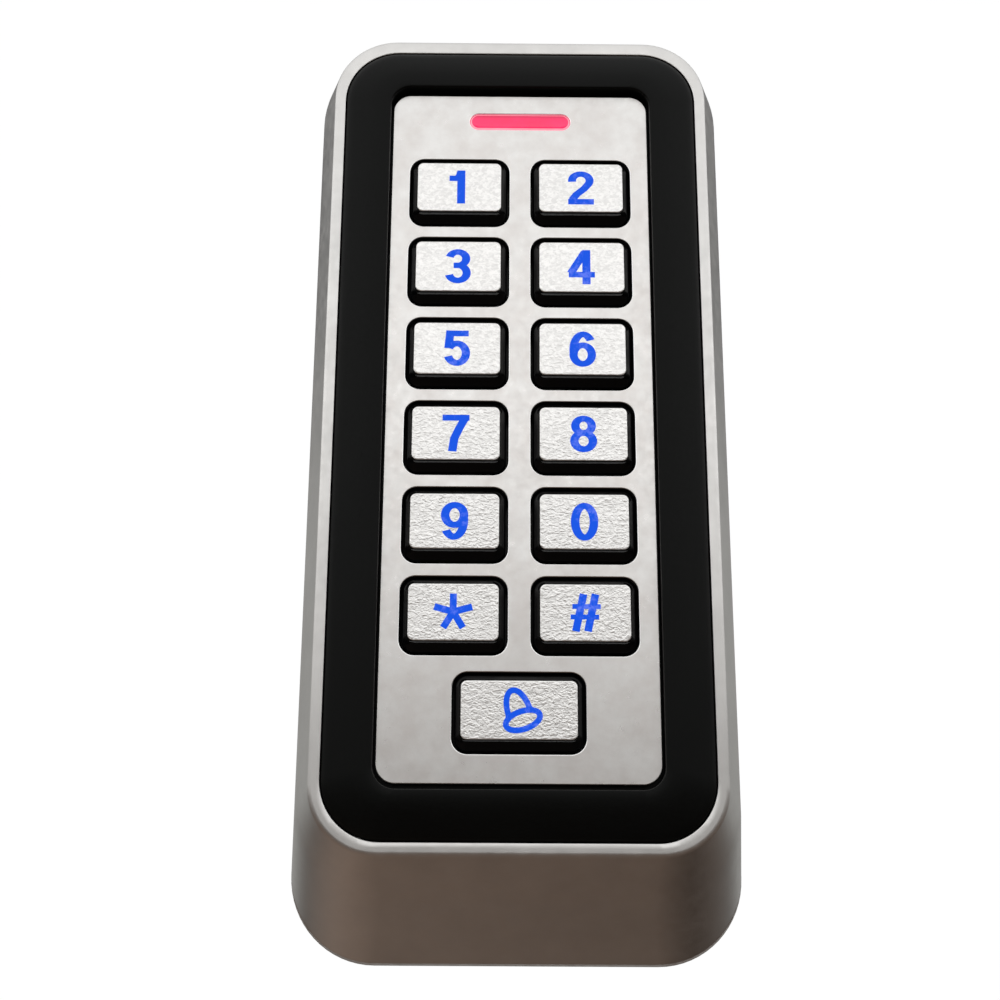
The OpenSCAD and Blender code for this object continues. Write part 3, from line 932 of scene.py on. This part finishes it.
def bell_strokes():
    """A leaning bell: its open mouth is an ellipse, its dome one arch."""
    lean = radians(19)
    x, y = 0.5, -1.36
    mouth = arc(0, 0, 2.4, 1.2, 0, 360, 32)
    dome = [(-1.85, 0.75)] + arc(-0.12, 1.2, 1.5, 3.05, 180, 0, 20) + [(1.75, 0.75)]
    return [[(x + px * cos(lean) - py * sin(lean), y + px * sin(lean) + py * cos(lean))
             for px, py in stroke] for stroke in (mouth, dome)]


def legend_strokes(key):
    """Every stroke of a key's legend, with its pen and its widening."""
    if key == "star":
        return [(stroke, 0.95, 1) for stroke in star_strokes()]
    if key == "hash":
        return ([(stroke, 1.05, 1) for stroke in hash_strokes()]
                + [(stroke, 0.68, 1) for stroke in hash_crossbars()])
    if key == "bell":
        return [(stroke, 0.78, 1) for stroke in bell_strokes()]
    return [(stroke, PEN, WIDEN) for stroke in digit_strokes(key)]


def stroke_solid(points, pen, widen, centre, near, far):
    """A stroke of a flat pen, as a thin solid in front of the wall."""
    closed = (Vector(points[0]) - Vector(points[-1])).length < 1e-6
    path = [Vector(point) for point in (points[:-1] if closed else points)]
    count = len(path)
    sharpest = 0.5
    bm = bmesh.new()
    sides = []
    for i, point in enumerate(path):
        before = path[i - 1] if closed or i else None
        after = path[(i + 1) % count] if closed or i < count - 1 else None
        into = (point - before).normalized() if before else (after - point).normalized()
        out = (after - point).normalized() if after else into
        along = (into + out).normalized()
        across = Vector((-along.y, along.x)) * (pen / 2 / max(sharpest, along.dot(into)))
        pair = []
        for side in (point + across, point - across):
            pair.append(bm.verts.new((centre[0] + side.x * widen * MM, -near,
                                      centre[1] + side.y * MM)))
        sides.append(pair)
    for i in range(count if closed else count - 1):
        first, second = sides[i], sides[(i + 1) % count]
        bm.faces.new((first[0], first[1], second[1], second[0]))
    raised = bmesh.ops.extrude_face_region(bm, geom=list(bm.faces), use_keep_orig=True)
    moved = [item for item in raised["geom"] if isinstance(item, bmesh.types.BMVert)]
    bmesh.ops.translate(bm, verts=moved, vec=(0, near - far, 0))
    bmesh.ops.recalc_face_normals(bm, faces=bm.faces)
    return bm


class READER_OT_legends(bpy.types.Operator):
    """Make the backlit legends on the key tops"""
    bl_idname = "reader.legends"
    bl_label = "Legends"

    def execute(self, context):
        ink = lit_legend(context.scene.reader_finish.legend)
        for key in KEYS:
            top = Span("key_cap_" + key)
            near, far = top.front - SUNK, top.front + RAISED
            solids = [stroke_solid(stroke, pen, widen, (top.x, top.z), near, far)
                      for stroke, pen, widen in legend_strokes(key)]
            piece = finish_piece(solids[0], "legend_" + key, ink)
            for solid in solids[1:]:
                carve(piece, solid, "UNION")
            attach(piece, "key_" + key)
        return {"FINISHED"}


# ---- wall side -----------------------------------------------------------

class READER_OT_wall_plate(bpy.types.Operator):
    """Make the pressed steel wall plate with its holes, hooks and screw tab"""
    bl_idname = "reader.wall_plate"
    bl_label = "Wall plate"

    def execute(self, context):
        wall = context.scene.reader_wall
        node = Span("back_plate")
        eye = Span("tamper_photocell")
        grommet = Span("cable_grommet")
        thick = wall.plate_t
        edge = 0.25 * MM
        facing = Matrix.Rotation(pi / 2, 4, "X")
        cable_hole, eye_hole = 6.2 * MM, 2.5 * MM
        openings = [(grommet.x, grommet.z, cable_hole), (eye.x, eye.z, eye_hole)]
        openings += [(sx * wall.screw_x / 2, sz * wall.screw_z / 2, wall.screw_d / 2)
                     for sx in (-1, 1) for sz in (-1, 1)]
        # Each step is a depth and an inset in shares of the edge's rounding.
        steps = ((0, -1), (0.3 * edge, -0.3), (edge, 0), (thick - edge, 0),
                 (thick - 0.3 * edge, -0.3), (thick, -1))
        bm = bmesh.new()
        outer = [outline(bm, node.width + 2 * inset * edge, node.height + 2 * inset * edge,
                         wall.plate_corner + inset * edge, (0, 0), depth, PLATE_CORNER)
                 for depth, inset in steps]
        skin(bm, outer)
        ends = []
        for x, z, radius in openings:
            loops = [circle(bm, radius - inset * edge,
                            Matrix.Translation((x, -depth, z)) @ facing)
                     for depth, inset in steps]
            skin(bm, loops)
            ends.append((loops[0], loops[-1]))
        cap(bm, outer[0], *[first for first, _ in ends])
        cap(bm, outer[-1], *[last for _, last in ends])
        steel = plain("zinc_steel", (0.55, 0.56, 0.57), 0.36, 1.0, 1.6, 0.14, 0.003)
        piece = finish_piece(bm, "wall_plate", steel)
        self.add_hooks(piece, node.height / 2, thick)
        self.add_tab(piece, wall.tab_in - node.height / 2, thick)
        join_piece(piece, BODY, "plate_steel", "back_plate")
        return {"FINISHED"}

    def add_hooks(self, piece, top, thick):
        """Adds the two hooks that reach over the casing's lugs."""
        sheet, hook_w, hook_h = 1.2 * MM, 8 * MM, thick + 4 * MM
        for x in (-HOOK_X, HOOK_X):
            self.add_block(piece, (x, top - 2.7 * MM), (hook_w, sheet),
                           (thick - 0.5 * MM, hook_h + sheet))
            self.add_block(piece, (x, top - 1.8 * MM), (hook_w, 3 * MM),
                           (hook_h, hook_h + sheet))

    def add_tab(self, piece, tab_z, thick):
        """Adds the tab with the security screw's threaded hole."""
        self.add_block(piece, (0, tab_z), (14 * MM, 1.6 * MM),
                       (thick - 0.5 * MM, thick + 5.2 * MM))
        screw = Span("security_screw")
        hole_radius, hole_depth = 1.55 * MM, 4 * MM
        thread = bmesh.new()
        middle = Matrix.Translation((0, -(screw.front + screw.back) / 2, tab_z))
        bmesh.ops.create_cone(thread, cap_ends=True, segments=32, radius1=hole_radius,
                              radius2=hole_radius, depth=hole_depth, matrix=middle)
        carve(piece, thread)

    def add_block(self, piece, centre, size, depths):
        """Adds a bevelled block to the plate."""
        block = bmesh.new()
        place = (centre[0], -(depths[0] + depths[1]) / 2, centre[1])
        bmesh.ops.create_cube(block, size=1, matrix=Matrix.Translation(place)
                              @ Matrix.Diagonal((size[0], depths[1] - depths[0], size[1], 1)))
        soften(block, list(block.edges), 0.15 * MM, 2)
        carve(piece, block, "UNION")


class READER_OT_seals(bpy.types.Operator):
    """Make the rubber cable grommet and the foam gasket behind the casing"""
    bl_idname = "reader.seals"
    bl_label = "Grommet and gasket"

    def execute(self, context):
        self.make_grommet(context.scene.reader_wall.cable_d / 2)
        self.make_gasket(context.scene.reader_casing)
        return {"FINISHED"}

    def make_grommet(self, bore):
        """Makes the grommet, whose section is radii and heights above the wall."""
        node = Span("cable_grommet")
        section = ((5.9, 0.2), (6.2, 0.5), (6.2, 1.5), (7.5, 1.5), (7.8, 1.8), (7.8, 2.35),
                   (7.65, 2.6), (7.3, 2.7), (5.2, 2.7), (5.0, 2.9), (5.0, 3.7), (4.85, 4.0),
                   (4.5, 4.1), (3.6, 4.1), (3.35, 4.0))
        points = [(radius * MM, -depth * MM, node.z) for radius, depth in section]
        points = [(bore, -0.2 * MM, node.z)] + points + [(bore, -3.7 * MM, node.z)]
        bm = lathe(points, (0, 0, node.z), (0, 1, 0), 64, closed=True)
        rubber = plain("soft_rubber", (0.018, 0.018, 0.018), 0.7, 0.0, 0.3, 0.25, 0.01)
        piece = finish_piece(bm, "grommet", rubber)
        join_piece(piece, BODY, "grommet_rubber", "cable_grommet")

    def make_gasket(self, casing):
        """Makes the flat foam ring with its edges eased on both sides."""
        node = Span("wall_gasket")
        wide = casing.wall - 0.4 * MM
        corner = casing.corner - 0.4 * MM
        bm = bmesh.new()
        steps = ((0, 0.12), (0.12, 0.0), (0.88, 0.0), (1.0, 0.12))
        rings = [[outline(bm, node.width - 2 * inset, node.height - 2 * inset,
                          corner - inset, (0, 0), depth * MM, PLATE_CORNER)
                  for depth, inset in ((depth, start + side * drop * MM)
                                       for depth, drop in steps)]
                 for side, start in ((1, 0), (-1, wide))]
        for loops in rings:
            skin(bm, loops)
        for first, second in ((rings[0][0], rings[1][0]), (rings[0][-1], rings[1][-1])):
            cap(bm, first, second)
        foam = plain("foam_rubber", (0.03, 0.03, 0.029), 0.9, 0.0, 0.5, 0.35, 0.06)
        piece = finish_piece(bm, "gasket", foam)
        join_piece(piece, BODY, "gasket_rubber", "wall_gasket")


class READER_OT_security_screw(bpy.types.Operator):
    """Make the socket-head screw that holds the casing to the wall plate"""
    bl_idname = "reader.security_screw"
    bl_label = "Security screw"

    def execute(self, context):
        node = Span("security_screw")
        depth = (node.front + node.back) / 2
        low = node.bottom
        profile = ((0, 0), (2.3, 0), (2.55, 0.08), (2.7, 0.3), (2.7, 0.95), (2.6, 1.1),
                   (1.5, 1.1), (1.5, 5.8), (1.2, 6.1), (0, 6.1))
        bm = lathe([(radius * MM, -depth, low + rise * MM) for radius, rise in profile],
                   (0, -depth, 0), (0, 0, 1), 48)
        bmesh.ops.remove_doubles(bm, verts=bm.verts, dist=1e-6)
        steel = plain("stainless", (0.5, 0.5, 0.49), 0.25, 1.0, 0.5, 0.08)
        piece = finish_piece(bm, "hex_screw", steel)
        socket = bmesh.new()
        socket_radius, socket_depth = 1.3 * MM, 1.2 * MM
        middle = Matrix.Translation((0, -depth, low + 0.1 * MM))
        bmesh.ops.create_cone(socket, cap_ends=True, segments=6, radius1=socket_radius,
                              radius2=socket_radius, depth=socket_depth, matrix=middle)
        carve(piece, socket)
        join_piece(piece, BODY, "security_steel", "security_screw")
        return {"FINISHED"}


# ---- inner parts ---------------------------------------------------------

class READER_OT_inner_parts(bpy.types.Operator):
    """Give the board, its parts and the inner screws their finishes"""
    bl_idname = "reader.inner_parts"
    bl_label = "Inner parts"

    def execute(self, context):
        screw = plain("screw_steel", (0.46, 0.46, 0.44), 0.3, 1.0, 0.6, 0.1)
        silicone = plain("milky_silicone", (0.62, 0.65, 0.62), 0.45, 0.0, 2.0, 0.05)
        chip = plain("chip_epoxy", (0.02, 0.02, 0.022), 0.55, 0.0, 0.25, 0.2)
        gold = plain("contact_gold", (0.85, 0.62, 0.22), 0.25, 1.0)
        finishes = {
            "module_screws": screw, "board_screws": screw,
            "rubber_mat": silicone, "rubber_domes": silicone, "contact_pads": gold,
            "controller_chip": chip, "reader_chip": chip, "buzzer": chip,
            "plate_adhesive": plain("adhesive_film", (0.8, 0.78, 0.7), 0.6),
            "main_board": plain("board_green", (0.015, 0.13, 0.045), 0.35, 0.0, 1.2, 0.3),
            "backlight_leds": plain("blue_light", (0.15, 0.3, 0.95), 0.3),
            "status_leds": plain("cream_light", (0.9, 0.87, 0.76), 0.4),
            "antenna_coil": plain("enamelled_copper", (0.6, 0.24, 0.09), 0.3, 1.0, 0.2, 0.3),
            "door_relay": plain("relay_blue", (0.03, 0.14, 0.42), 0.45),
            "capacitor": plain("capacitor_sleeve", (0.02, 0.04, 0.16), 0.3),
            "wire_connector": plain("nylon", (0.8, 0.76, 0.66), 0.5),
            "tamper_photocell": plain("photocell_coat", (0.55, 0.27, 0.08), 0.2, 0.0, 0.4, 0.3),
        }
        for node, material in finishes.items():
            for slot in frame["nodes"][node].material_slots:
                slot.material = material
        return {"FINISHED"}


# ---- stage ---------------------------------------------------------------

class READER_OT_stage(bpy.types.Operator):
    """Set the camera, the pale floor, the backdrop and soft studio light"""
    bl_idname = "reader.stage"
    bl_label = "Stage"

    def execute(self, context):
        self.set_camera(context.scene)
        self.set_floor(context.scene)
        self.set_light(context.scene)
        return {"FINISHED"}

    def set_camera(self, scene):
        """Sets the camera a little below the face, looking up at it."""
        stage = scene.reader_stage
        face = Span("face_plate")
        data = bpy.data.cameras.new("camera")
        data.lens = stage.lens
        data.clip_start = 0.01
        camera = bpy.data.objects.new("camera", data)
        turn = (Matrix.Rotation(pi / 2 + stage.tilt, 4, "X")
                @ Matrix.Rotation(stage.turn, 4, "Y")
                @ Matrix.Rotation(stage.roll, 4, "Z"))
        place = Vector((-stage.aside, -face.front - stage.distance, face.z - stage.below))
        camera.matrix_world = Matrix.Translation(place) @ turn
        scene.collection.objects.link(camera)
        scene.camera = camera

    def set_floor(self, scene):
        """Adds the floor, and a white backdrop that only the camera sees."""
        stage = scene.reader_stage
        low = Span("front_case").bottom - stage.floor_drop
        bm = bmesh.new()
        bmesh.ops.create_circle(bm, cap_ends=True, segments=stage.floor_segments,
                                radius=stage.floor_radius,
                                matrix=Matrix.Translation((0, 0, low)))
        floor = finish_piece(bm, "floor", plain("pale_floor", (0.86, 0.855, 0.85), 0.7,
                                                0.0, 30, 0.02))
        floor.visible_glossy = False
        bm = bmesh.new()
        backdrop_radius = 4
        bmesh.ops.create_icosphere(bm, subdivisions=4, radius=backdrop_radius)
        bmesh.ops.reverse_faces(bm, faces=bm.faces)
        white = Finish("backdrop_white", (0, 0, 0), 1.0, Emission_Strength=1.0)
        white.set("Emission Color", (1, 1, 1, 1))
        backdrop = finish_piece(bm, "backdrop", white.material)
        backdrop.visible_glossy = False
        backdrop.visible_diffuse = False
        backdrop.visible_shadow = False

    def set_light(self, scene):
        """Lights the reader by direction: a bright band above the horizon, a dim rear,
        and a dim underside that is lighter on the left."""
        world = bpy.data.worlds.new("studio")
        world.use_nodes = True
        tree = world.node_tree
        background = tree.nodes["Background"]
        background.inputs["Strength"].default_value = 1.25
        place = tree.nodes.new("ShaderNodeTexCoord")
        axes = tree.nodes.new("ShaderNodeSeparateXYZ")
        tree.links.new(place.outputs["Generated"], axes.inputs[0])
        height = self.ramp(tree, axes.outputs["Z"], (-1, 1))
        sky = self.shades(tree, height, (
            (0.0, (0.105, 0.075, 0.058)), (0.3, (0.11, 0.081, 0.065)),
            (0.45, (0.13, 0.12, 0.11)), (0.52, (0.19, 0.185, 0.18)),
            (0.57, (0.56, 0.555, 0.55)), (0.63, (1.12, 1.115, 1.11)),
            (0.68, (1.21, 1.21, 1.20)), (0.75, (0.86, 0.86, 0.86)),
            (1.0, (0.8, 0.8, 0.8))))
        behind = self.ramp(tree, axes.outputs["Y"], (0.15, 0.65), curve="SMOOTHSTEP")
        room = self.shades(tree, height, (
            (0.0, (0.10, 0.085, 0.075)), (0.3, (0.12, 0.115, 0.11)),
            (0.45, (0.30, 0.30, 0.29)), (0.62, (0.30, 0.30, 0.29)),
            (0.7, (0.10, 0.10, 0.10))))
        mixed = tree.nodes.new("ShaderNodeMix")
        mixed.data_type = "RGBA"
        tree.links.new(behind, mixed.inputs["Factor"])
        tree.links.new(sky, mixed.inputs[MIX_FIRST])
        tree.links.new(room, mixed.inputs[MIX_SECOND])
        side = self.ramp(tree, axes.outputs["X"], (-0.55, 0.5), (1.9, 0.42))
        under = self.ramp(tree, axes.outputs["Z"], (-0.45, -0.8))
        shift = tree.nodes.new("ShaderNodeMix")
        shift.inputs["A"].default_value = 1.0
        tree.links.new(under, shift.inputs["Factor"])
        tree.links.new(side, shift.inputs["B"])
        scaled = tree.nodes.new("ShaderNodeVectorMath")
        scaled.operation = "SCALE"
        tree.links.new(mixed.outputs[MIX_RESULT], scaled.inputs[0])
        tree.links.new(shift.outputs["Result"], scaled.inputs["Scale"])
        tree.links.new(scaled.outputs["Vector"], background.inputs["Color"])
        scene.world = world
        scene.view_settings.view_transform = "Standard"

    def ramp(self, tree, value, reach, result=(0, 1), curve="LINEAR"):
        """Maps a value's reach to a result."""
        node = tree.nodes.new("ShaderNodeMapRange")
        node.interpolation_type = curve
        for name, number in zip(("From Min", "From Max", "To Min", "To Max"), reach + result):
            node.inputs[name].default_value = number
        tree.links.new(value, node.inputs["Value"])
        return node.outputs["Result"]

    def shades(self, tree, value, stops):
        """Colours a value by stops of a position and a shade."""
        node = tree.nodes.new("ShaderNodeValToRGB")
        tree.links.new(value, node.inputs["Fac"])
        elements = node.color_ramp.elements
        while len(elements) < len(stops):
            elements.new(0.5)
        for element, (position, shade) in zip(elements, stops):
            element.position = position
            element.color = (*shade, 1)
        return node.outputs["Color"]


# ---- panel and registration ----------------------------------------------

PIECES = ("casing", "frame", "face", "light_bar", "key_tops", "key_skirts", "legends",
          "wall_plate", "seals", "security_screw", "inner_parts", "stage")


class READER_PT_panel(bpy.types.Panel):
    """Lists the pieces of the reader"""
    bl_idname = "READER_PT_panel"
    bl_label = "Keypad reader"
    bl_space_type = "VIEW_3D"
    bl_region_type = "UI"
    bl_category = "Reader"

    def draw(self, context):
        for piece in PIECES:
            self.layout.operator("reader." + piece)
        for group in GROUPS:
            settings = getattr(context.scene, group)
            box = self.layout.box()
            for name in settings.bl_rna.properties.keys():
                if name not in ("rna_type", "name"):
                    box.prop(settings, name)


GROUPS = {"reader_casing": ReaderCasing, "reader_module": ReaderModule,
          "reader_wall": ReaderWall, "reader_finish": ReaderFinish,
          "reader_stage": ReaderStage}
OPERATORS = (READER_OT_casing, READER_OT_frame, READER_OT_face, READER_OT_light_bar,
             READER_OT_key_tops, READER_OT_key_skirts, READER_OT_legends,
             READER_OT_wall_plate, READER_OT_seals, READER_OT_security_screw,
             READER_OT_inner_parts, READER_OT_stage)


def register():
    for name, group in GROUPS.items():
        bpy.utils.register_class(group)
        setattr(bpy.types.Scene, name, PointerProperty(type=group))
    for operator in OPERATORS:
        bpy.utils.register_class(operator)
    bpy.utils.register_class(READER_PT_panel)


def unregister():
    bpy.utils.unregister_class(READER_PT_panel)
    for operator in reversed(OPERATORS):
        bpy.utils.unregister_class(operator)
    for name, group in reversed(list(GROUPS.items())):
        delattr(bpy.types.Scene, name)
        bpy.utils.unregister_class(group)


def main():
    register()
    for piece in PIECES:
        getattr(bpy.ops.reader, piece)()


if __name__ == "__main__":
    main()
